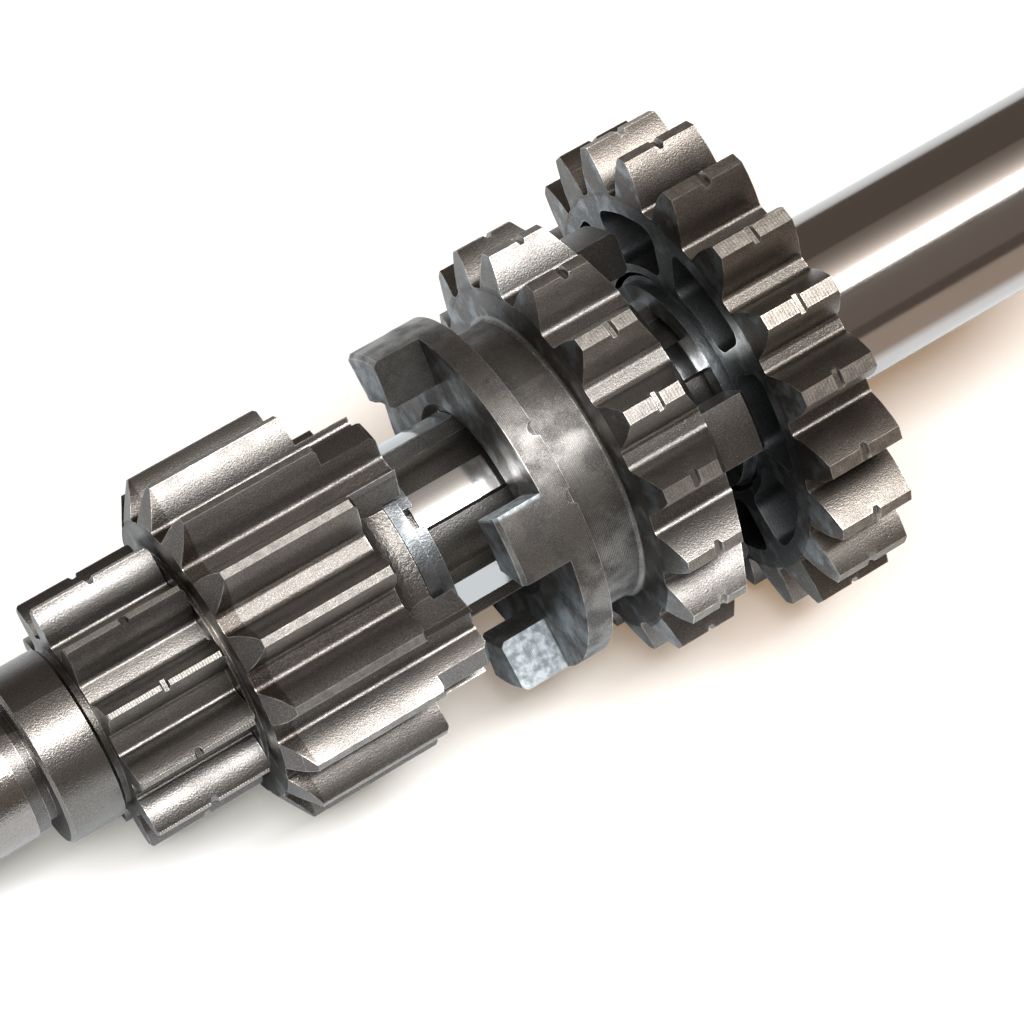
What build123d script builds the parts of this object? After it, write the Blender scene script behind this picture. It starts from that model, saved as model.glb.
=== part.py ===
"""Transmission main shaft of a small four-speed gearbox, with its gears, washers and snap rings.

The shaft runs along X. X = 0 is the middle of the left bearing journal.
Angles are turned about X from +Z towards the front, which is -Y. Lengths are in millimetres.
"""
from build123d import *
import math
import os

# Clearances
running_clearance = 0.05
sliding_clearance = 0.06
end_float = 0.1
ring_room = 0.5
dog_room = 0.5

# Gear cutting
pressure_angle = 20.0
root_round = 0.45
nick_width = 0.8
nick_depth = 0.35
blank_skin = 0.05

# Shaft, left end
left_journal_d = 12.0
left_journal_length = 13.0
relief_d = 11.5
relief_width = 1.2
relief_groove_d = 10.6
relief_groove_width = 0.8
collar_d = 15.8
collar_width = 5.3
undercut_d = 14.4
undercut_width = 0.6
end_chamfer = 0.8
small_edge = 0.3
centre_hole_d = 3.2

# Shaft, splines and right end
spline_count = 6
spline_d = 17.0
spline_root_d = 14.1
spline_width = 3.2
spline_phase = 17.05
spline_run_in = 0.6
groove_depth = 0.7
sleeve_d = 16.0
sleeve_wall = 1.0
sleeve_length = 35.6
right_journal_d = 12.0
right_journal_length = 5.0

# First gear, one piece with the shaft
first_teeth = 11
first_tip_d = 23.4
first_tooth_depth = 3.3
first_profile_shift = 0.186
first_tip_land = 0.45
first_width = 11.0
first_phase = -2.05
first_end_round = 0.45

# Second gear, free on the shaft, with a dog block at every fourth tooth
second_teeth = 16
second_tip_d = 32.7
second_tooth_depth = 3.15
second_profile_shift = 0.343
second_tip_land = 0.72
second_face_width = 14.2
second_phase = -11.15
second_shoulder_height = 0.2
second_left_cone = 1.7
second_right_cone = 0.25
second_boss_wall = 1.8
second_boss_height = 0.4
second_hub_wall = 1.95
second_hub_length = 3.25
second_hub_round = 2.4
second_dog_count = 4
second_dog_length = 5.1
second_dog_drop = 1.2
second_dog_half_width = 3.9

# Thrust washers and snap rings
washer_thickness = 1.2
second_washer_rim = 1.9
fourth_washer_rim = 2.0
circlip_thickness = 1.1
circlip_rim = 1.6
circlip_gap = 11.0
second_circlip_phase = 20.75
fourth_circlip_phase = 200.75

# Third gear, the slider
third_rest_gap = 8.15
third_flange_drop = 0.05
third_flange_width = 2.5
fork_groove_depth = 3.05
fork_groove_width = 5.3
fork_groove_round = 0.5
third_teeth = 17
third_tip_d = 39.84
third_tooth_depth = 3.32
third_profile_shift = 0.46
third_tip_land = 1.2
third_face_width = 7.8
third_phase = 29.9
third_left_cone = 0.75
third_right_cone = 1.55
third_mouth_rim = 0.9
third_mouth_depth = 1.0
third_dog_count = 4
third_left_dog_inner_d = 23.6
third_left_dog_length = 4.6
third_left_dog_span = 22.5
third_left_dog_phase = 47.25
third_right_dog_inner_d = 24.6
third_right_dog_length = 4.4
third_right_dog_span = 19.5
third_right_dog_phase = 49.55
dog_edge = 0.4
flange_nick_radius = 0.7
flange_nick_phases = (19.15, 41.35)

# Fourth gear, free on its bush, with pockets for the slider's dogs
fourth_rest_gap = 5.15
fourth_teeth = 20
fourth_tip_d = 45.66
fourth_tooth_depth = 4.13
fourth_profile_shift = 0.415
fourth_tip_land = 1.31
fourth_width = 8.15
fourth_phase = 26.9
fourth_left_cone = 0.5
fourth_right_cone = 0.45
fourth_hub_recess = 1.6
fourth_bush_wall = 1.3
pocket_count = 8
pocket_span = 35.0
pocket_phase = 9.75
pocket_depth = 4.5
pocket_rim = 1.7
pocket_round = 1.3
back_recess_depth = 1.0

# Radii used in more than one place
spline_r = spline_d / 2
spline_root_r = spline_root_d / 2
circlip_seat_r = spline_r - groove_depth
circlip_r = spline_r + circlip_rim
second_washer_r = spline_r + second_washer_rim
fourth_washer_r = spline_r + fourth_washer_rim
fourth_bush_r = spline_r + fourth_bush_wall
sleeve_seat_r = sleeve_d / 2 - sleeve_wall
first_root_r = first_tip_d / 2 - first_tooth_depth
second_root_r = second_tip_d / 2 - second_tooth_depth
third_root_r = third_tip_d / 2 - third_tooth_depth
fourth_root_r = fourth_tip_d / 2 - fourth_tooth_depth
dog_ring_r = max(second_washer_r, circlip_r) + ring_room
pocket_inner_r = third_right_dog_inner_d / 2 - dog_room
pocket_outer_r = fourth_root_r - pocket_rim

# Places along the shaft, each following from the one before
left_end_x = -left_journal_length / 2
relief_start = left_journal_length / 2
relief_groove_start = relief_start + relief_width
collar_start = relief_groove_start + relief_groove_width
collar_end = collar_start + collar_width
first_start = collar_end + undercut_width
first_end = first_start + first_width
second_start = first_end + end_float
second_face = second_start + second_boss_height
second_teeth_end = second_face + second_face_width
second_hub_end = second_teeth_end + second_hub_length
second_dog_end = second_teeth_end + second_dog_length
second_washer_start = second_hub_end + end_float
second_circlip_start = second_washer_start + washer_thickness
second_circlip_end = second_circlip_start + circlip_thickness
third_start = second_circlip_end + third_rest_gap
third_groove_start = third_start + third_flange_width
third_face = third_groove_start + fork_groove_width
third_end = third_face + third_face_width
fourth_circlip_start = third_end + fourth_rest_gap
fourth_washer_start = fourth_circlip_start + circlip_thickness
fourth_washer_end = fourth_washer_start + washer_thickness
fourth_hub_face = fourth_washer_end + end_float
fourth_face = fourth_hub_face - fourth_hub_recess
fourth_end = fourth_face + fourth_width
spline_start = second_hub_end - spline_run_in
spline_end = fourth_end + end_float
sleeve_start = spline_end + washer_thickness
sleeve_end = sleeve_start + sleeve_length
right_end_x = sleeve_end + right_journal_length


def across(x):
    """Drawing plane square to the shaft at x, its own x axis pointing up."""
    return Plane(origin=(x, 0, 0), x_dir=(0, 0, 1), z_dir=(1, 0, 0))


def along(sketch, start, end):
    """Push a section drawn square to the shaft from start to end."""
    return extrude(across(start) * sketch, amount=end - start, dir=(1, 0, 0))


def turned(points, rounds=(), arc=360, phase=0):
    """Turn a section given as (x, radius) points; rounds lists (corner, radius) pairs."""
    section = make_face(Polyline(*points, close=True))
    for corner, radius in rounds:
        section = fillet(section.vertices().sort_by_distance((*corner, 0))[0], radius)
    return Rot(X=phase) * revolve(Plane.XZ * section, Axis.X, revolution_arc=arc)


def ring(start, end, outer_r, inner_r):
    """Plain turned ring."""
    return turned([(start, inner_r), (end, inner_r), (end, outer_r), (start, outer_r)])


def sectors(section, span, phase, count):
    """Equal blocks with radial flanks, each the same section turned through span."""
    start = phase - span / 2
    return [turned(section, arc=span, phase=start + k * 360 / count) for k in range(count)]


def dog_gaps(start, end, outer_r, dog_span, dog_phase, count):
    """What is milled away between dogs to leave them standing."""
    pitch = 360 / count
    section = [(start, spline_r), (end, spline_r), (end, outer_r), (start, outer_r)]
    return sectors(section, pitch - dog_span, dog_phase + pitch / 2, count)


def involute(angle):
    """Involute of an angle in radians."""
    return math.tan(angle) - angle


def tooth_half_angle(radius, base_r, tip_r, tip_land):
    """Half the angle that a tooth takes up at a radius, from its land width at the tip."""
    at_tip = tip_land / 2 / tip_r + involute(math.acos(base_r / tip_r))
    return at_tip - involute(math.acos(base_r / max(radius, base_r)))


def gear_section(teeth, shift, tip_r, root_r, tip_land, phase):
    """Spur gear section with involute flanks, one tooth centred on the phase angle."""
    module = 2 * tip_r / (teeth + 2 + 2 * shift)
    base_r = teeth * module / 2 * math.cos(math.radians(pressure_angle))
    foot_r = root_r + root_round
    middle_r = (max(foot_r, base_r) + tip_r) / 2
    pitch = 2 * math.pi / teeth

    def half(radius):
        return tooth_half_angle(radius, base_r, tip_r, tip_land)

    def point(radius, angle):
        return Vector(radius * math.cos(angle), radius * math.sin(angle))

    def flank(centre, side):
        """Root round and involute of one side, from the root out to the tip."""
        corner = point(root_r, centre + side * half(root_r))
        low = point(root_r, centre + side * (half(root_r) + root_round / root_r))
        foot = point(foot_r, centre + side * half(foot_r))
        belly = (low + foot) / 2
        bend = belly + (corner - belly) * (math.sqrt(2) - 1)
        middle = point(middle_r, centre + side * half(middle_r))
        tip = point(tip_r, centre + side * half(tip_r))
        return low, bend, foot, middle, tip

    edges = []
    for k in range(teeth):
        centre = math.radians(phase) + k * pitch
        low, bend, foot, middle, tip = flank(centre, -1)
        edges.append(Edge.make_three_point_arc(low, bend, foot))
        edges.append(Edge.make_three_point_arc(foot, middle, tip))
        low_2, bend_2, foot_2, middle_2, tip_2 = flank(centre, 1)
        edges.append(Edge.make_three_point_arc(tip, point(tip_r, centre), tip_2))
        edges.append(Edge.make_three_point_arc(tip_2, middle_2, foot_2))
        edges.append(Edge.make_three_point_arc(foot_2, bend_2, low_2))
        next_low = flank(centre + pitch, -1)[0]
        edges.append(Edge.make_three_point_arc(low_2, point(root_r, centre + pitch / 2), next_low))
    return Face(Wire(edges))


def gear_blank(left, right, left_cone, right_cone, left_r, right_r, tip_r):
    """Turned blank whose end faces slope back from left_r and right_r to the tooth tips."""
    left_slope = left_cone / (tip_r - left_r)
    right_slope = right_cone / (tip_r - right_r)
    over_r = tip_r + 1
    return turned([
        (left, 0),
        (left, left_r),
        (left + left_slope * (over_r - left_r), over_r),
        (right - right_slope * (over_r - right_r), over_r),
        (right, right_r),
        (right, 0),
    ])


def tip_nick(start, end, tip_r):
    """Shallow groove turned round the tooth tips, half way along a gear."""
    middle = (start + end) / 2
    bottom_r = tip_r - nick_depth
    return turned([
        (middle - nick_width / 2, tip_r + nick_depth),
        (middle - nick_width / 2, tip_r),
        (middle - nick_width / 4, bottom_r),
        (middle + nick_width / 4, bottom_r),
        (middle + nick_width / 2, tip_r),
        (middle + nick_width / 2, tip_r + nick_depth),
    ])


def spline_section(root_r, outer_r, width):
    """Round core with evenly spaced straight-sided lands."""
    lands = Sketch()
    for k in range(spline_count):
        land = Pos(outer_r, 0) * Rectangle(2 * outer_r, width)
        lands += Rot(Z=spline_phase + k * 360 / spline_count) * land
    return Circle(root_r) + (lands & Circle(outer_r))


def spline_hole(start, end):
    """Space that a splined bore needs around the shaft's lands."""
    section = spline_section(
        spline_root_r + sliding_clearance, spline_r + sliding_clearance, spline_width + 2 * sliding_clearance)
    return along(section, start, end)


def make_main_shaft():
    """Turned shaft with the first gear, the long splines and two snap-ring grooves."""
    journal_r = left_journal_d / 2
    gear_core_r = min(spline_root_r, first_root_r) - root_round
    right_journal_r = right_journal_d / 2
    collar_r = collar_d / 2
    core = turned([
        (left_end_x, 0),
        (left_end_x, journal_r - end_chamfer),
        (left_end_x + end_chamfer, journal_r),
        (relief_start, journal_r),
        (relief_start, relief_d / 2),
        (relief_groove_start, relief_d / 2),
        (relief_groove_start, relief_groove_d / 2),
        (collar_start, relief_groove_d / 2),
        (collar_start, collar_r - small_edge),
        (collar_start + small_edge, collar_r),
        (collar_end - small_edge, collar_r),
        (collar_end, collar_r - small_edge),
        (collar_end, undercut_d / 2),
        (first_start, undercut_d / 2),
        (first_start, gear_core_r),
        (first_end, gear_core_r),
        (first_end, spline_r),
        (spline_start, spline_r),
        (spline_start, spline_root_r),
        (spline_end, spline_root_r),
        (spline_end, sleeve_seat_r),
        (sleeve_end, sleeve_seat_r),
        (sleeve_end, right_journal_r),
        (right_end_x - end_chamfer, right_journal_r),
        (right_end_x, right_journal_r - end_chamfer),
        (right_end_x, 0),
    ])
    lands = along(spline_section(spline_root_r, spline_r, spline_width), spline_start, spline_end)
    tip_r = first_tip_d / 2
    section = gear_section(
        first_teeth, first_profile_shift, tip_r, first_root_r, first_tip_land, first_phase)
    blank_r = tip_r + blank_skin
    blank = turned(
        [(first_start, 0), (first_start, blank_r), (first_end, blank_r), (first_end, 0)],
        rounds=[((first_start, blank_r), first_end_round), ((first_end, blank_r), first_end_round)])
    first_gear = (along(section, first_start, first_end) & blank) - tip_nick(first_start, first_end, tip_r)
    shaft = core + lands + first_gear
    for start in (second_circlip_start, fourth_circlip_start):
        shaft -= ring(start, start + circlip_thickness, spline_r + 1, circlip_seat_r)
    hole_r = centre_hole_d / 2
    for x, way in ((left_end_x, 1), (right_end_x, -1)):
        shaft -= turned([(x, 0), (x, hole_r), (x + way * centre_hole_d, 0)])
    return shaft


def make_second_gear():
    """Spur gear whose every fourth tooth runs on to the right as a dog block."""
    tip_r = second_tip_d / 2
    root_r = second_root_r
    hub_r = spline_r + second_hub_wall
    hub_round = min(second_hub_round, 0.9 * (root_r - hub_r), 0.9 * second_hub_length)
    section = gear_section(
        second_teeth, second_profile_shift, tip_r, root_r, second_tip_land, second_phase)
    blank = gear_blank(
        second_face, second_teeth_end, second_left_cone, second_right_cone,
        root_r + second_shoulder_height, tip_r - second_right_cone, tip_r)
    body = along(section, second_face, second_teeth_end) & blank
    body += ring(second_start, second_face, spline_r + second_boss_wall, 0)
    body += turned(
        [(second_face + 1, 0), (second_hub_end, 0), (second_hub_end, hub_r), (second_teeth_end, hub_r),
         (second_teeth_end, root_r), (second_face + 1, root_r)],
        rounds=[((second_teeth_end, hub_r), hub_round)])
    dog_tip_r = tip_r - second_dog_drop
    blocks = turned([
        (second_face + 1, 0),
        (second_hub_end, 0),
        (second_hub_end, dog_ring_r),
        (second_dog_end, dog_ring_r),
        (second_dog_end, dog_tip_r - dog_edge),
        (second_dog_end - dog_edge, dog_tip_r),
        (second_face + 1, dog_tip_r),
    ])
    slabs = Part()
    for k in range(second_dog_count // 2):
        slab = Box(4 * second_dog_end, 2 * second_dog_half_width, 2 * second_tip_d)
        slabs += Rot(X=second_phase + k * 360 / second_dog_count) * slab
    body += along(section, second_face + 1, second_dog_end) & blocks & slabs
    return body - ring(second_start - 1, second_dog_end + 1, spline_r + running_clearance, 0)


def make_third_gear():
    """Sliding gear: flange, fork groove, teeth, four dogs on each side and a splined bore."""
    tip_r = third_tip_d / 2
    root_r = third_root_r
    core_r = root_r - root_round
    flange_r = root_r - third_flange_drop
    groove_r = flange_r - fork_groove_depth
    left_inner_r = third_left_dog_inner_d / 2
    right_inner_r = third_right_dog_inner_d / 2
    right_outer_r = pocket_outer_r - dog_room
    groove_round = min(fork_groove_round, (core_r - groove_r) / 2)
    left_edge = min(dog_edge, (flange_r - left_inner_r) / 3)
    right_edge = min(dog_edge, (right_outer_r - right_inner_r) / 3)
    left_tip = third_start - third_left_dog_length
    right_tip = third_end + third_right_dog_length
    body = turned(
        [(third_start, 0),
         (third_start, left_inner_r),
         (left_tip + left_edge, left_inner_r),
         (left_tip, left_inner_r + left_edge),
         (left_tip, flange_r - left_edge),
         (left_tip + left_edge, flange_r),
         (third_groove_start, flange_r),
         (third_groove_start, groove_r),
         (third_face, groove_r),
         (third_face, core_r),
         (third_end, core_r),
         (third_end, right_outer_r),
         (right_tip - right_edge, right_outer_r),
         (right_tip, right_outer_r - right_edge),
         (right_tip, right_inner_r + right_edge),
         (right_tip - right_edge, right_inner_r),
         (third_end, right_inner_r),
         (third_end, 0)],
        rounds=[((third_groove_start, groove_r), groove_round), ((third_face, groove_r), groove_round)])
    body -= dog_gaps(
        left_tip - 1, third_start, flange_r + 1, third_left_dog_span, third_left_dog_phase, third_dog_count)
    body -= dog_gaps(
        third_end, right_tip + 1, flange_r + 1, third_right_dog_span, third_right_dog_phase, third_dog_count)
    section = gear_section(
        third_teeth, third_profile_shift, tip_r, root_r, third_tip_land, third_phase)
    blank = gear_blank(
        third_face, third_end, third_left_cone, third_right_cone,
        root_r + root_round, root_r + root_round / 2, tip_r)
    body += (along(section, third_face, third_end) & blank) - tip_nick(third_face, third_end, tip_r)
    mouth_r = spline_r + third_mouth_rim
    body -= spline_hole(third_start - 1, third_end + 1)
    body -= turned([(third_start - 1, 0), (third_start - 1, mouth_r), (third_start, mouth_r),
                    (third_start + third_mouth_depth, spline_root_r), (third_start + third_mouth_depth, 0)])
    body -= turned([(third_end + 1, 0), (third_end + 1, mouth_r), (third_end, mouth_r),
                    (third_end - third_mouth_depth, spline_root_r), (third_end - third_mouth_depth, 0)])
    for phase in flange_nick_phases:
        nick = Pos(third_groove_start, 0, flange_r) * Cylinder(flange_nick_radius, 2 * flange_nick_radius)
        body -= Rot(X=phase) * nick
    return body


def make_fourth_gear():
    """Spur gear with a sunk hub and eight blind pockets in its left face."""
    tip_r = fourth_tip_d / 2
    root_r = fourth_root_r
    bore_r = fourth_bush_r + running_clearance
    washer_room_r = fourth_washer_r + ring_room
    section = gear_section(
        fourth_teeth, fourth_profile_shift, tip_r, root_r, fourth_tip_land, fourth_phase)
    blank = gear_blank(
        fourth_face, fourth_end, fourth_left_cone, fourth_right_cone, root_r, root_r, tip_r)
    body = (along(section, fourth_face, fourth_end) & blank) - tip_nick(fourth_face, fourth_end, tip_r)
    body -= ring(fourth_face - 1, fourth_hub_face, washer_room_r, 0)
    body -= ring(fourth_face - 1, fourth_end + 1, bore_r, 0)
    pocket = [
        (fourth_face - 1, pocket_inner_r),
        (fourth_face + pocket_depth, pocket_inner_r),
        (fourth_face + pocket_depth, pocket_outer_r),
        (fourth_face - 1, pocket_outer_r),
    ]
    corner_round = min(pocket_round, (pocket_outer_r - pocket_inner_r) / 3)
    for space in sectors(pocket, pocket_span, pocket_phase, pocket_count):
        body -= fillet(space.edges().filter_by(Axis.X), corner_round)
    return body - ring(fourth_end - back_recess_depth, fourth_end + 1, pocket_outer_r, pocket_inner_r)


def make_splined_washer(start, outer_r):
    """Thrust washer that the shaft's splines hold still."""
    end = start + washer_thickness
    return ring(start, end, outer_r, 0) - spline_hole(start - 1, end + 1)


def make_circlip(start, phase):
    """Open snap ring that sits in its groove in the lands."""
    section = [
        (start, circlip_seat_r),
        (start + circlip_thickness, circlip_seat_r),
        (start + circlip_thickness, circlip_r),
        (start, circlip_r),
    ]
    return turned(section, arc=360 - circlip_gap, phase=phase + circlip_gap / 2)


def make_sleeve():
    """Polished sleeve right of the fourth gear, pressed on the plain end of the shaft."""
    outer_r = sleeve_d / 2
    inner_r = sleeve_seat_r
    return turned([
        (sleeve_start, inner_r),
        (sleeve_start, outer_r - small_edge),
        (sleeve_start + small_edge, outer_r),
        (sleeve_end - small_edge, outer_r),
        (sleeve_end, outer_r - small_edge),
        (sleeve_end, inner_r),
    ])


nodes = {
    "main_shaft": make_main_shaft(),
    "second_gear": make_second_gear(),
    "second_gear_thrust_washer": make_splined_washer(second_washer_start, second_washer_r),
    "second_gear_circlip": make_circlip(second_circlip_start, second_circlip_phase),
    "third_gear": make_third_gear(),
    "fourth_gear_circlip": make_circlip(fourth_circlip_start, fourth_circlip_phase),
    "fourth_gear_thrust_washer": make_splined_washer(fourth_washer_start, fourth_washer_r),
    "fourth_gear_bush": ring(fourth_washer_end, spline_end, fourth_bush_r, spline_r),
    "fourth_gear": make_fourth_gear(),
    "fourth_gear_outer_washer": ring(spline_end, sleeve_start, fourth_washer_r, sleeve_seat_r),
    "spacer_sleeve": make_sleeve(),
}

os.makedirs("parts", exist_ok=True)
for name, shape in nodes.items():
    export_step(shape, "parts/" + name + ".step")
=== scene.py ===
import math

import bpy
from mathutils import Matrix, Vector

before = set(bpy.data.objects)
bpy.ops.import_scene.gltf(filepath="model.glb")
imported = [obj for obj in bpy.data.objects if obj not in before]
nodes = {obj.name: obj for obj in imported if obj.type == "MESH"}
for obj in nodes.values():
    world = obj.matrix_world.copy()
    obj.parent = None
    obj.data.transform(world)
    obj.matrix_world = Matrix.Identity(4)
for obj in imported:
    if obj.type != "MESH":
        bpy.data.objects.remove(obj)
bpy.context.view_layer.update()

# Camera: a hand-held close-up from the front left, looking down at the shaft
# with a long lens, and leaning a few degrees off level.
mm = 0.001
camera_place = Vector((-28.15, -141.19, 252.10)) * mm
camera_target = Vector((52.76, -7.04, 8.06)) * mm
camera_roll = math.radians(-3.115)
scene = bpy.context.scene
scene.view_settings.view_transform = "Standard"
camera_data = bpy.data.cameras.new("close_up_camera")
camera_data.sensor_fit = "HORIZONTAL"
camera_data.sensor_width = 36.0
camera_data.lens = 121.87
camera = bpy.data.objects.new("close_up_camera", camera_data)
scene.collection.objects.link(camera)
aim = (camera_target - camera_place).to_track_quat("-Z", "Y").to_matrix().to_4x4()
camera.matrix_world = Matrix.Translation(camera_place) @ aim @ Matrix.Rotation(camera_roll, 4, "Z")
scene.camera = camera


# Light: a dim warm room, and a long soft box over the shaft, a little to its front.
# The box has one bright strip with a sharp front edge, strips that fade towards the
# back, and a faint broad strip in front.
def linear(hex_colour):
    """An sRGB hex colour as the linear RGBA that shaders work in."""
    channels = [int(hex_colour[i:i + 2], 16) / 255 for i in (1, 3, 5)]
    return [c / 12.92 if c <= 0.04045 else ((c + 0.055) / 1.055) ** 2.4 for c in channels] + [1.0]


room_colour = linear("#746A62")
room_strength = 0.74
soft_box_distance = 900 * mm
soft_box_length = 1200 * mm
bright_lean, bright_width, bright_radiance = 19.0, 16.5, 14.0
fading_strips, fading_width, fading_radiance = 9, 4.0, 1.7
fading_reach = 3
front_lean, front_width, front_radiance = 58, 44, 0.08
daylight = (0.985, 0.993, 1.0)
warm_light = (1.0, 0.93, 0.86)
bench_centre = Vector((55, 0, 0)) * mm
room = bpy.data.worlds.new("dim_room")
room.use_nodes = True
scene.world = room
sky = room.node_tree.nodes["Background"]
sky.inputs["Color"].default_value = room_colour
sky.inputs["Strength"].default_value = room_strength


def hang_strip(name, lean_degrees, width_degrees, radiance, colour):
    """One strip of the soft box, as long as the box, leaning forward of straight overhead."""
    lean = math.radians(lean_degrees)
    width = 2 * soft_box_distance * math.tan(math.radians(width_degrees / 2))
    way = Vector((0, -math.sin(lean), math.cos(lean)))
    side = way.cross(Vector((1, 0, 0))).normalized()
    lamp = bpy.data.lights.new(name, "AREA")
    lamp.shape = "RECTANGLE"
    lamp.size = soft_box_length
    lamp.size_y = width
    lamp.energy = radiance * math.pi * soft_box_length * width
    lamp.color = colour
    holder = bpy.data.objects.new(name, lamp)
    scene.collection.objects.link(holder)
    turn = Matrix((side.cross(way), side, way)).transposed().to_4x4()
    holder.matrix_world = Matrix.Translation(bench_centre + way * soft_box_distance) @ turn


hang_strip("bright_strip", bright_lean, bright_width, bright_radiance, daylight)
for k in range(fading_strips):
    strip_lean = bright_lean - bright_width / 2 - (k + 0.5) * fading_width
    strip_radiance = fading_radiance * math.exp(-k / fading_reach)
    hang_strip(f"fading_strip_{k + 1}", strip_lean, fading_width, strip_radiance, warm_light)
hang_strip("front_fill", front_lean, front_width, front_radiance, warm_light)

# Table: one sheet of white card. The shaft lies on it with two teeth of the second
# gear and two of the largest gear, so the card is at a slant to the shaft's axis.
second_rest = Vector((27.6, 0, -16.04)) * mm
fourth_rest = Vector((75.9, 0, -22.55)) * mm
card_size = 3.0
slant = math.atan2(second_rest.z - fourth_rest.z, fourth_rest.x - second_rest.x)
bpy.ops.object.select_all(action="DESELECT")
bpy.ops.mesh.primitive_plane_add(size=card_size, location=fourth_rest)
card = bpy.context.object
card.name = "white_card"
bpy.ops.object.mode_set(mode="EDIT")
bpy.ops.mesh.select_all(action="SELECT")
bpy.ops.transform.rotate(value=-slant, orient_axis="Y", center_override=fourth_rest)
bpy.ops.object.mode_set(mode="OBJECT")
bpy.ops.object.transform_apply(location=True, rotation=True, scale=True)


def add_node(tree, kind, inputs=(), **settings):
    """Adds a shader node. An input given as another node's output is linked, and a value is set."""
    new = tree.nodes.new(kind)
    for key, value in settings.items():
        setattr(new, key, value)
    for key, value in dict(inputs).items():
        if isinstance(value, bpy.types.NodeSocket):
            tree.links.new(value, new.inputs[key])
        else:
            new.inputs[key].default_value = value
    return new


# The card is matt paper. The camera sees it glow a little, cool on the left and warm on
# the right, which paints those tints into its shadows, and plain white further off. The steel
# mirrors it without the glow, in a cooler painted tone, and with a painted dark reflection at the front
# right.
card_colour = linear("#E4E3E1")
# The glow's warm and cool tints paint the colour of the card's shadows.
warm_shadow_glow = linear("#FFCF9C")
cool_glow = linear("#F6F6EE")
near_glow, far_glow = 0.26, 1.0
near_reach, far_reach = 160 * mm, 420 * mm
cool_end, warm_end = 25 * mm, 75 * mm
card_in_steel = linear("#DCE2E6")
# A painted dark reflection: only the steel sees the card's front right this dark.
painted_dark_reflection = linear("#9A8F86")
corner_front, corner_front_soft = -30 * mm, 8 * mm
corner_right, corner_right_soft = 82 * mm, 15 * mm
white_card = bpy.data.materials.new("matt_white_card")
white_card.use_nodes = True
tree = white_card.node_tree
tree.nodes.clear()
ray = add_node(tree, "ShaderNodeLightPath")
place = add_node(tree, "ShaderNodeTexCoord").outputs["Object"]
across = add_node(tree, "ShaderNodeSeparateXYZ", {0: place})
front = add_node(tree, "ShaderNodeMapRange", {
    "Value": across.outputs["Y"], "From Min": corner_front + corner_front_soft,
    "From Max": corner_front - corner_front_soft})
right = add_node(tree, "ShaderNodeMapRange", {
    "Value": across.outputs["X"], "From Min": corner_right - corner_right_soft,
    "From Max": corner_right + corner_right_soft})
corner = add_node(tree, "ShaderNodeMath", {0: front.outputs[0], 1: right.outputs[0]}, operation="MULTIPLY")
mirrored = add_node(tree, "ShaderNodeMix", {
    "Factor": corner.outputs[0], 6: card_in_steel, 7: painted_dark_reflection}, data_type="RGBA")
shade = add_node(tree, "ShaderNodeMix", {
    "Factor": ray.outputs["Is Glossy Ray"], 6: card_colour, 7: mirrored.outputs[2]}, data_type="RGBA")
paper = add_node(tree, "ShaderNodeBsdfDiffuse", {"Color": shade.outputs[2]})
direct = add_node(tree, "ShaderNodeMath", {
    0: ray.outputs["Is Camera Ray"], 1: ray.outputs["Is Transmission Ray"]}, operation="MAXIMUM")
off_bench = add_node(tree, "ShaderNodeVectorMath", {0: place, 1: bench_centre}, operation="DISTANCE")
far = add_node(tree, "ShaderNodeMapRange", {
    "Value": off_bench.outputs["Value"], "From Min": near_reach, "From Max": far_reach},
    interpolation_type="SMOOTHSTEP")
lift = add_node(tree, "ShaderNodeMix", {"Factor": far.outputs[0], 2: near_glow, 3: far_glow})
power = add_node(tree, "ShaderNodeMath", {0: direct.outputs[0], 1: lift.outputs[0]}, operation="MULTIPLY")
warmth = add_node(tree, "ShaderNodeMapRange", {
    "Value": across.outputs["X"], "From Min": cool_end, "From Max": warm_end})
near_colour = add_node(tree, "ShaderNodeMix", {
    "Factor": warmth.outputs[0], 6: cool_glow, 7: warm_shadow_glow}, data_type="RGBA")
glow_colour = add_node(tree, "ShaderNodeMix", {
    "Factor": far.outputs[0], 6: near_colour.outputs[2], 7: cool_glow}, data_type="RGBA")
glow = add_node(tree, "ShaderNodeEmission", {"Color": glow_colour.outputs[2], "Strength": power.outputs[0]})
both = add_node(tree, "ShaderNodeAddShader", {0: paper.outputs[0], 1: glow.outputs[0]})
add_node(tree, "ShaderNodeOutputMaterial", {"Surface": both.outputs[0]})
card.data.materials.append(white_card)

# Main shaft: one forging of case-hardened steel. Its journal, collar and spline lands
# are turned and ground, and the first gear is hobbed into it.
journal_end = 6.5 * mm
collar_start, collar_end = 8.5 * mm, 13.8 * mm
teeth_start, teeth_end = 14.4 * mm, 25.4 * mm
splines_start = 42.7 * mm
first_tip_r = 11.7 * mm
first_root_r = 8.4 * mm
spline_r = 8.5 * mm
beyond = 1.0
zone_soft = 0.1 * mm
land_soft = 0.03 * mm
root_soft = 0.06 * mm
speck_colour = linear("#D8D4CE")

# Tool marks are waves across X. A wave node's Scale is mark_scale over their spacing.
mark_scale = math.pi / 10
mark_detail = {"Detail": 1.0, "Detail Scale": 0.15}
across_x = {"wave_type": "BANDS", "bands_direction": "X"}


def start_metal(name):
    """A new metal material, and the places on the object that its patterns are laid out by."""
    metal = bpy.data.materials.new(name)
    metal.use_nodes = True
    tree = metal.node_tree
    tree.nodes.clear()
    return metal, tree, add_node(tree, "ShaderNodeTexCoord").outputs["Object"]


def along_and_out(tree, place):
    """How far a place lies along the shaft, and how far out from its axis."""
    x = add_node(tree, "ShaderNodeSeparateXYZ", {0: place}).outputs["X"]
    flat = add_node(tree, "ShaderNodeVectorMath", {0: place, 1: (0.0, 1.0, 1.0)}, operation="MULTIPLY")
    out = add_node(tree, "ShaderNodeVectorMath", {0: flat.outputs[0]}, operation="LENGTH")
    return x, out.outputs["Value"]


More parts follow.
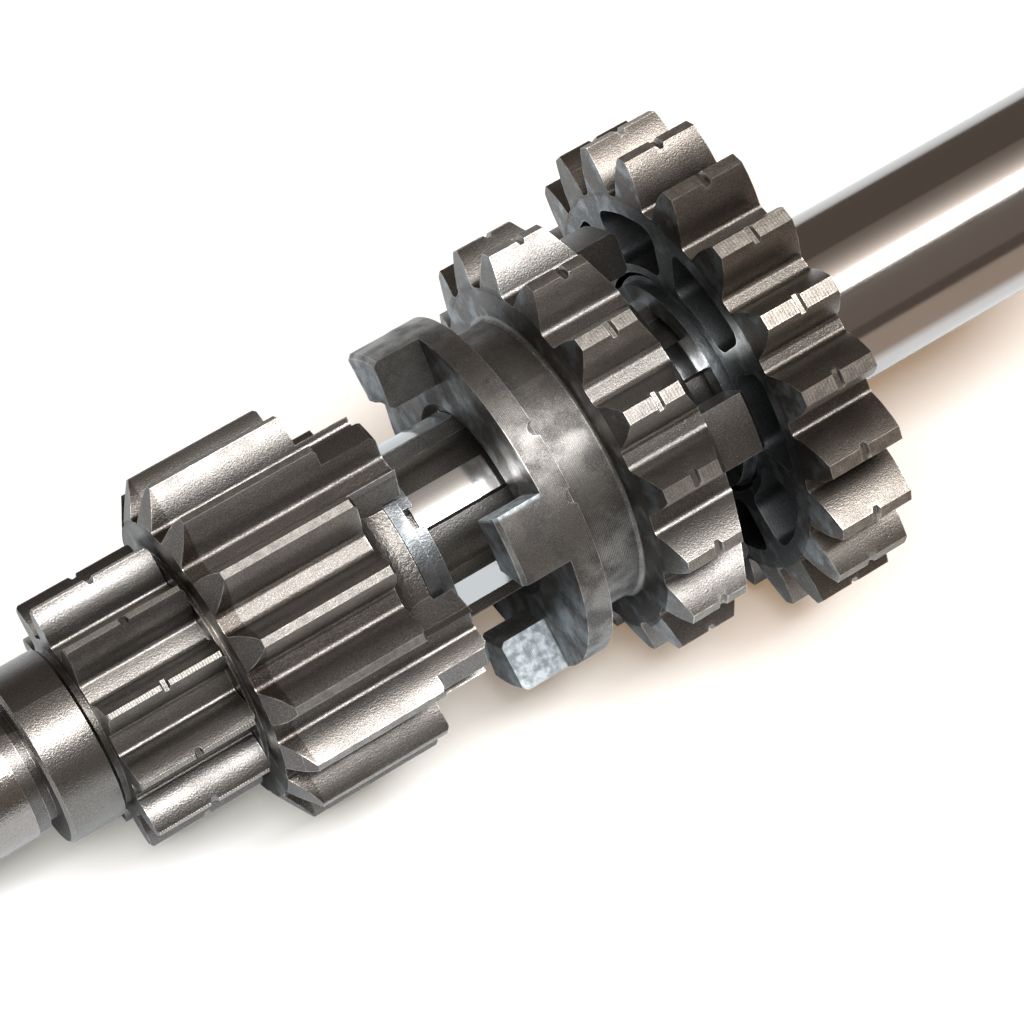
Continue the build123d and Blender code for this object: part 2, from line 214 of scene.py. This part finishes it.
def band(tree, value, low, high, soft, *within):
    """A mask that is 1 where a value lies between low and high, with soft edges, times
    other masks and strengths."""
    rise = add_node(tree, "ShaderNodeMapRange", {
        "Value": value, "From Min": low - soft, "From Max": low + soft})
    fall = add_node(tree, "ShaderNodeMapRange", {
        "Value": value, "From Min": high - soft, "From Max": high + soft, "To Min": 1.0, "To Max": 0.0})
    mask = rise.outputs[0]
    for other in (fall.outputs[0], *within):
        mask = add_node(tree, "ShaderNodeMath", {0: mask, 1: other}, operation="MULTIPLY").outputs[0]
    return mask


def spots(tree, place, size, detail, low, high, least=0.0):
    """A mask of cloudy spots of a real size, sharper as low and high come together."""
    noise = add_node(tree, "ShaderNodeTexNoise", {"Vector": place, "Scale": 1 / size, "Detail": detail})
    return add_node(tree, "ShaderNodeMapRange", {
        "Value": noise.outputs["Fac"], "From Min": low, "From Max": high, "To Min": least}).outputs[0]


def sandy_grain(tree, place):
    """Masks of the bright specks and of the dark pits in one fine sandy surface."""
    size, detail = 0.1 * mm, 2.0
    return spots(tree, place, size, detail, 0.56, 0.72), spots(tree, place, size, detail, 0.46, 0.32)


def edge_wear_and_glint(tree, place, reach):
    """A mask of the sharp edges, here and there, that are painted bright: rubbed by handling and meshing, and
    a painted glint.
    """
    smooth, sharp = 0.98, 0.84
    rounded = add_node(tree, "ShaderNodeBevel", {"Radius": reach}, samples=4)
    true = add_node(tree, "ShaderNodeNewGeometry").outputs["Normal"]
    same = add_node(tree, "ShaderNodeVectorMath", {0: rounded.outputs[0], 1: true}, operation="DOT_PRODUCT")
    edge = add_node(tree, "ShaderNodeMapRange", {
        "Value": same.outputs["Value"], "From Min": smooth, "From Max": sharp})
    handled = spots(tree, place, 1.3 * mm, 3.0, 0.42, 0.6, least=0.15)
    return add_node(tree, "ShaderNodeMath", {0: edge.outputs[0], 1: handled}, operation="MULTIPLY").outputs[0]


def hollow_shade_and_oil(tree, reach, closed, open_air):
    """A mask of the hollows, by the share of the space around that is open: painted shade there, and old oil.
    """
    hollow = add_node(tree, "ShaderNodeAmbientOcclusion", {"Distance": reach}, samples=4)
    return add_node(tree, "ShaderNodeMapRange", {
        "Value": hollow.outputs["AO"], "From Min": closed, "From Max": open_air,
        "To Min": 1.0, "To Max": 0.0}).outputs[0]


def layered(tree, base, layers, kind="RGBA"):
    """Lays finishes over a base in order. A layer is its colour or number, and then the
    masks and strengths that it shows through."""
    first, second, result = (6, 7, 2) if kind == "RGBA" else (2, 3, 0)
    for finish, cover, *more in layers:
        for mask in more:
            cover = add_node(tree, "ShaderNodeMath", {0: mask, 1: cover}, operation="MULTIPLY").outputs[0]
        mix = add_node(tree, "ShaderNodeMix", {"Factor": cover, first: base, second: finish}, data_type=kind)
        base = mix.outputs[result]
    return base


def finish_metal(tree, colour, roughness, reliefs):
    """Puts colour, roughness and reliefs on a bare metal. A relief is its depth in metres,
    its pattern and the masks that it shows through."""
    below = {}
    for depth, height, *masks in reliefs:
        for mask in masks:
            height = add_node(tree, "ShaderNodeMath", {0: height, 1: mask}, operation="MULTIPLY").outputs[0]
        bump = add_node(tree, "ShaderNodeBump", {"Height": height, "Distance": depth, **below})
        below = {"Normal": bump.outputs["Normal"]}
    metal = add_node(tree, "ShaderNodeBsdfPrincipled", {
        "Base Color": colour, "Metallic": 1.0, "Roughness": roughness, **below})
    add_node(tree, "ShaderNodeOutputMaterial", {"Surface": metal.outputs[0]})


# Turned and ground steel: fine turning lines on journal and collar, feed marks across
# the tooth lands, near-mirror spline lands, and a satin sandy grain elsewhere.
shaft_steel, tree, place = start_metal("turned_and_ground_shaft_steel")
x, radius = along_and_out(tree, place)
journal = band(tree, x, -beyond, journal_end, zone_soft)
collar = band(tree, x, collar_start, collar_end, zone_soft)
teeth = band(tree, x, teeth_start, teeth_end, zone_soft)
splines = band(tree, x, splines_start, beyond, zone_soft)
tip = band(tree, radius, first_tip_r - 0.06 * mm, beyond, land_soft)
root = band(tree, radius, first_root_r - 0.2 * mm, first_root_r + 0.1 * mm, root_soft, 0.15)
land = add_node(tree, "ShaderNodeMath", {0: tip, 1: root}, operation="MAXIMUM").outputs[0]
spline_land = band(tree, radius, spline_r - 0.08 * mm, beyond, land_soft, splines)
sandy = add_node(
    tree, "ShaderNodeMath", {0: 1.0, 1: spline_land}, operation="SUBTRACT", use_clamp=True).outputs[0]
lathe = add_node(
    tree, "ShaderNodeMath", {0: journal, 1: 0.3, 2: collar}, operation="MULTIPLY_ADD").outputs[0]
grain = add_node(tree, "ShaderNodeTexNoise", {"Vector": place, "Scale": 1 / (0.16 * mm), "Detail": 2.0})
turning = add_node(tree, "ShaderNodeTexWave", {
    "Vector": place, "Scale": mark_scale / (0.13 * mm), "Distortion": 0.6, **mark_detail}, **across_x)
feed = add_node(tree, "ShaderNodeTexWave", {
    "Vector": place, "Scale": mark_scale / (0.25 * mm), "Distortion": 0.8, **mark_detail}, **across_x)
speck, pit = sandy_grain(tree, place)
patch = spots(tree, place, 4.0 * mm, 3.0, 0.35, 0.65)
# Painted shade, with old oil, darkens the hollows.
dark = hollow_shade_and_oil(tree, 2.5 * mm, 0.15, 0.6)
# Sharp edges are painted bright: wear, and a painted glint.
edge = edge_wear_and_glint(tree, place, 0.13 * mm)
colour = layered(tree, linear("#7B7875"), (
    (linear("#6E6B68"), patch),
    (linear("#A39D98"), journal),
    (linear("#827E7A"), collar),
    (linear("#ABA7A1"), teeth, land),
    (linear("#7A7875"), splines),
    (linear("#C3C3C3"), spline_land),
    (linear("#3E352E"), dark, 0.6),
    (linear("#33271F"), pit, sandy, 0.4),
    (speck_colour, speck, sandy, 0.25),
    (linear("#EDE9E2"), edge, 0.7)))
roughness = layered(tree, 0.31, (
    (0.39, patch), (0.22, journal), (0.31, collar), (0.48, teeth, land), (0.12, spline_land)), "FLOAT")
finish_metal(tree, colour, roughness, (
    (0.024 * mm, grain.outputs["Fac"], sandy),
    (0.008 * mm, turning.outputs["Fac"], lathe),
    (0.03 * mm, feed.outputs["Fac"], teeth, land)))
nodes["main_shaft"].material_slots[0].material = shaft_steel


# Second gear: a free-running gear of the same steel. Every fourth tooth runs on as a
# dog, and the hub between them is left as forged, with a coarse skin.
def darkened(hex_colour, share):
    """A hex colour with only a share of its light, as linear RGBA."""
    return [share * c for c in linear(hex_colour)[:3]] + [1.0]


def hobbed_steel(name, tip_r, root_r, oil_r, feed_spacing, body, land, deep, oil, turned_end=0.0,
                 skin_start=1000.0, dark_end=0.0, worn_x=0.0, drive_angle=0.0, nick_x=0.0):
    """Case-hardened gear steel, with radii and places along X in mm: satin hobbed flanks
    with a fine bright grain, lands ground lighter with feed marks across them, edges painted
    bright with wear and glint, painted shade and old oil in the hollows, and an oily tone inside oil_r.
    Left-facing sides are painted darker, as shade, with pale bluish painted reflections in blotches.
    What lies left of turned_end is turned, the core right of skin_start keeps its forged
    skin, and the tooth ends left of dark_end are darker. Dogs that end at worn_x are rubbed
    bright on their sides at drive_angle, and a little on their ends, which is wear and also a painted
    reflection.
    The nick in the tips at nick_x is burred. A place left at its default is off every gear and shows nothing."""
    steel, tree, place = start_metal(name)
    x, radius = along_and_out(tree, place)
    tip = band(tree, radius, (tip_r - 0.06) * mm, (tip_r + 1) * mm, land_soft)
    root = band(tree, radius, (root_r - 0.2) * mm, (root_r + 0.1) * mm, root_soft)
    oily = band(tree, radius, -beyond, oil_r * mm, 0.2 * mm)
    lathe = band(tree, x, -beyond, turned_end * mm, zone_soft)
    ends = band(tree, x, -beyond, dark_end * mm, 0.05 * mm)
    inside = band(tree, radius, 0.0, root_r * mm, 0.1 * mm)
    skin = band(tree, x, skin_start * mm, beyond, 0.15 * mm, inside)
    tops = band(tree, radius, (tip_r - 0.6) * mm, beyond, 0.1 * mm)
    nick = band(tree, x, (nick_x - 0.5) * mm, (nick_x + 0.5) * mm, 0.08 * mm, tops)

    # The four dogs' driving sides, a quarter turn apart, by the angle from +Z towards -Y.
    parts = add_node(tree, "ShaderNodeSeparateXYZ", {0: place})
    forward = add_node(tree, "ShaderNodeMath", {0: parts.outputs["Y"], 1: -1.0}, operation="MULTIPLY")
    turn = add_node(tree, "ShaderNodeMath", {
        0: forward.outputs[0], 1: parts.outputs["Z"]}, operation="ARCTAN2")
    quarter = add_node(tree, "ShaderNodeMath", {
        0: turn.outputs[0], 1: math.radians(drive_angle - 45),
        2: math.radians(drive_angle + 45)}, operation="WRAP")
    dog_length = band(tree, x, (worn_x - 0.1) * mm, (worn_x + 4.5) * mm, 0.1 * mm)
    side_wear_and_sheen = band(
        tree, quarter.outputs[0], math.radians(drive_angle - 1), math.radians(drive_angle + 1),
        math.radians(0.5), dog_length)
    end_wear_and_sheen = band(tree, x, (worn_x - 0.08) * mm, (worn_x + 0.08) * mm, 0.05 * mm, 0.3)
    wear_and_sheen = add_node(tree, "ShaderNodeMath", {0: side_wear_and_sheen, 1: end_wear_and_sheen}, operation="MAXIMUM").outputs[0]

    true = add_node(tree, "ShaderNodeNewGeometry").outputs["True Normal"]
    facing = add_node(tree, "ShaderNodeSeparateXYZ", {0: true}).outputs["X"]
    left_side = add_node(tree, "ShaderNodeMapRange", {
        "Value": facing, "From Min": -0.9, "From Max": -0.99}).outputs[0]
    grain = add_node(tree, "ShaderNodeTexNoise", {
        "Vector": place, "Scale": 1 / (0.14 * mm), "Detail": 2.0})
    forged = add_node(tree, "ShaderNodeTexNoise", {
        "Vector": place, "Scale": 1 / (0.35 * mm), "Detail": 3.0})
    feed = add_node(tree, "ShaderNodeTexWave", {
        "Vector": place, "Scale": mark_scale / (feed_spacing * mm), "Distortion": 0.8,
        **mark_detail}, **across_x)
    turning = add_node(tree, "ShaderNodeTexWave", {
        "Vector": place, "Scale": mark_scale / (0.16 * mm), "Distortion": 0.3,
        **mark_detail}, **across_x)
    speck, pit = sandy_grain(tree, place)
    patch = spots(tree, place, 3.5 * mm, 4.0, 0.35, 0.65)
    blotch = spots(tree, place, 0.7 * mm, 4.0, 0.38, 0.62)
    painted_reflection_blotch = spots(tree, place, 2.2 * mm, 5.0, 0.5, 0.64)
    cloudy = spots(tree, place, 2.8 * mm, 4.0, 0.4, 0.6)
    # Painted shade, with old oil, darkens the hollows.
    dark = hollow_shade_and_oil(tree, 3.0 * mm, 0.2, 0.75)
    # Sharp edges are painted bright: wear, and a painted glint.
    edge = edge_wear_and_glint(tree, place, 0.16 * mm)
    ground = layered(tree, darkened(land, 0.72), ((linear(land), blotch),))
    turned = layered(tree, linear("#64615F"), ((linear("#8E8B87"), cloudy),))
    rubbed_and_sheen_colour = layered(tree, linear("#A0AAB1"), ((linear("#E4EBEF"), blotch),))
    colour = layered(tree, linear(body), (
        (darkened(body, 0.84), patch),
        (ground, tip, 0.85),
        # Tooth roots are painted darker, as shade down in the gaps.
        (linear(deep), root, 0.3),
        (turned, lathe),
        (linear(deep), ends, 0.55),
        (linear(deep), dark, 0.55),
        (linear(oil), oily, 0.9),
        # Left-facing sides: painted shade, and pale bluish painted reflections in blotches.
        (linear(deep), left_side, 0.5),
        (linear("#AEB8BF"), left_side, painted_reflection_blotch, 0.55),
        (linear(deep), pit, 0.45),
        (speck_colour, speck, 0.3),
        # Dog sides and ends painted bright: wear, and a painted reflection.
        (rubbed_and_sheen_colour, wear_and_sheen),
        (linear("#C9C4BC"), nick, blotch, 0.3),
        (linear("#F0ECE6"), edge, 0.85)))
    turned_roughness = layered(tree, 0.52, ((0.36, cloudy),), "FLOAT")
    roughness = layered(tree, 0.32, (
        (0.4, patch), (0.48, tip), (0.4, root), (0.44, skin), (turned_roughness, lathe), (0.36, oily),
        (0.55, wear_and_sheen), (0.3, edge)), "FLOAT")
    finish_metal(tree, colour, roughness, (
        (0.026 * mm, grain.outputs["Fac"]),
        (0.08 * mm, forged.outputs["Fac"], skin),
        (0.009 * mm, feed.outputs["Fac"], tip),
        (0.012 * mm, turning.outputs["Fac"], lathe)))
    return steel


nodes["second_gear"].material_slots[0].material = hobbed_steel(
    "hobbed_second_gear_steel", tip_r=16.35, root_r=13.2, oil_r=8.6, feed_spacing=0.24,
    body="#84807C", land="#ABA7A1", deep="#33271F", oil="#4A4846",
    skin_start=40.1, dark_end=27.65, worn_x=45.2)

# Third gear, the slider, of the same steel: turned flange and fork groove, hobbed teeth
# and milled dogs. One side of each left dog is rubbed bright in blotches, which is also a painted reflection.
nodes["third_gear"].material_slots[0].material = hobbed_steel(
    "hobbed_slider_steel", tip_r=19.92, root_r=16.6, oil_r=9.5, feed_spacing=0.3,
    body="#86827E", land="#A8A29B", deep="#2B2724", oil="#4A4846",
    turned_end=61.6, worn_x=49.3, drive_angle=36.0, nick_x=65.6)

# Fourth gear: the largest, of the same steel, free on a bush, with pockets that take
# the slider's dogs. Everything inside its teeth has an oily tone, darkened by painted shade in its hollows
# and on its left face.
nodes["fourth_gear"].material_slots[0].material = hobbed_steel(
    "hobbed_fourth_gear_steel", tip_r=22.83, root_r=18.7, oil_r=18.3, feed_spacing=0.3,
    body="#827B74", land="#A59D94", deep="#1E1B19", oil="#7A7E82", nick_x=79.52)

# Thrust washers and snap rings: pressed spring steel, blued by its hardening, that
# spins and slides in oil, so its flats and rims are rubbed bright in blotches; the rims' brightness is also a
# painted glint.
spring_steel, tree, place = start_metal("blued_spring_steel")
grain = add_node(tree, "ShaderNodeTexNoise", {"Vector": place, "Scale": 1 / (0.2 * mm), "Detail": 2.0})
patch = spots(tree, place, 1.6 * mm, 4.0, 0.42, 0.6)
# The rims are painted bright: wear, and a painted glint.
edge = edge_wear_and_glint(tree, place, 0.12 * mm)
colour = layered(tree, linear("#66696B"), ((linear("#85898C"), patch), (linear("#F1F4F5"), edge, 0.8)))
roughness = layered(tree, 0.42, ((0.34, patch),), "FLOAT")
finish_metal(tree, colour, roughness, ((0.03 * mm, grain.outputs["Fac"]),))
for name in ("second_gear_thrust_washer", "second_gear_circlip", "fourth_gear_thrust_washer",
             "fourth_gear_circlip", "fourth_gear_outer_washer"):
    nodes[name].material_slots[0].material = spring_steel

# Bush: a plain turned bronze sleeve that the largest gear turns on, hidden but for its
# end. Bronze gives a dull yellow-brown with fine turning lines.
bush_bronze, tree, place = start_metal("turned_bush_bronze")
turning = add_node(tree, "ShaderNodeTexWave", {
    "Vector": place, "Scale": mark_scale / (0.12 * mm), "Distortion": 0.4, **mark_detail}, **across_x)
cloud = add_node(tree, "ShaderNodeTexNoise", {"Vector": place, "Scale": 1 / (2.0 * mm), "Detail": 3.0})
colour = layered(tree, linear("#A9855A"), ((linear("#8C6B46"), cloud.outputs["Fac"]),))
finish_metal(tree, colour, 0.35, ((0.006 * mm, turning.outputs["Fac"]),))
nodes["fourth_gear_bush"].material_slots[0].material = bush_bronze

# Sleeve: hardened steel tube, ground and polished almost to a mirror. Only faint
# polishing lines round it and a slight haze break the reflections.
polished_steel, tree, place = start_metal("ground_and_polished_sleeve_steel")
lines = add_node(tree, "ShaderNodeTexWave", {
    "Vector": place, "Scale": mark_scale / (0.11 * mm), "Distortion": 1.0, **mark_detail}, **across_x)
haze = add_node(tree, "ShaderNodeTexNoise", {"Vector": place, "Scale": 1 / (6.0 * mm), "Detail": 3.0})
colour = layered(tree, linear("#C6BFBA"), ((linear("#BDB6B1"), haze.outputs["Fac"]),))
roughness = layered(tree, 0.09, ((0.15, haze.outputs["Fac"]),), "FLOAT")
finish_metal(tree, colour, roughness, ((0.0012 * mm, lines.outputs["Fac"]),))
nodes["spacer_sleeve"].material_slots[0].material = polished_steel
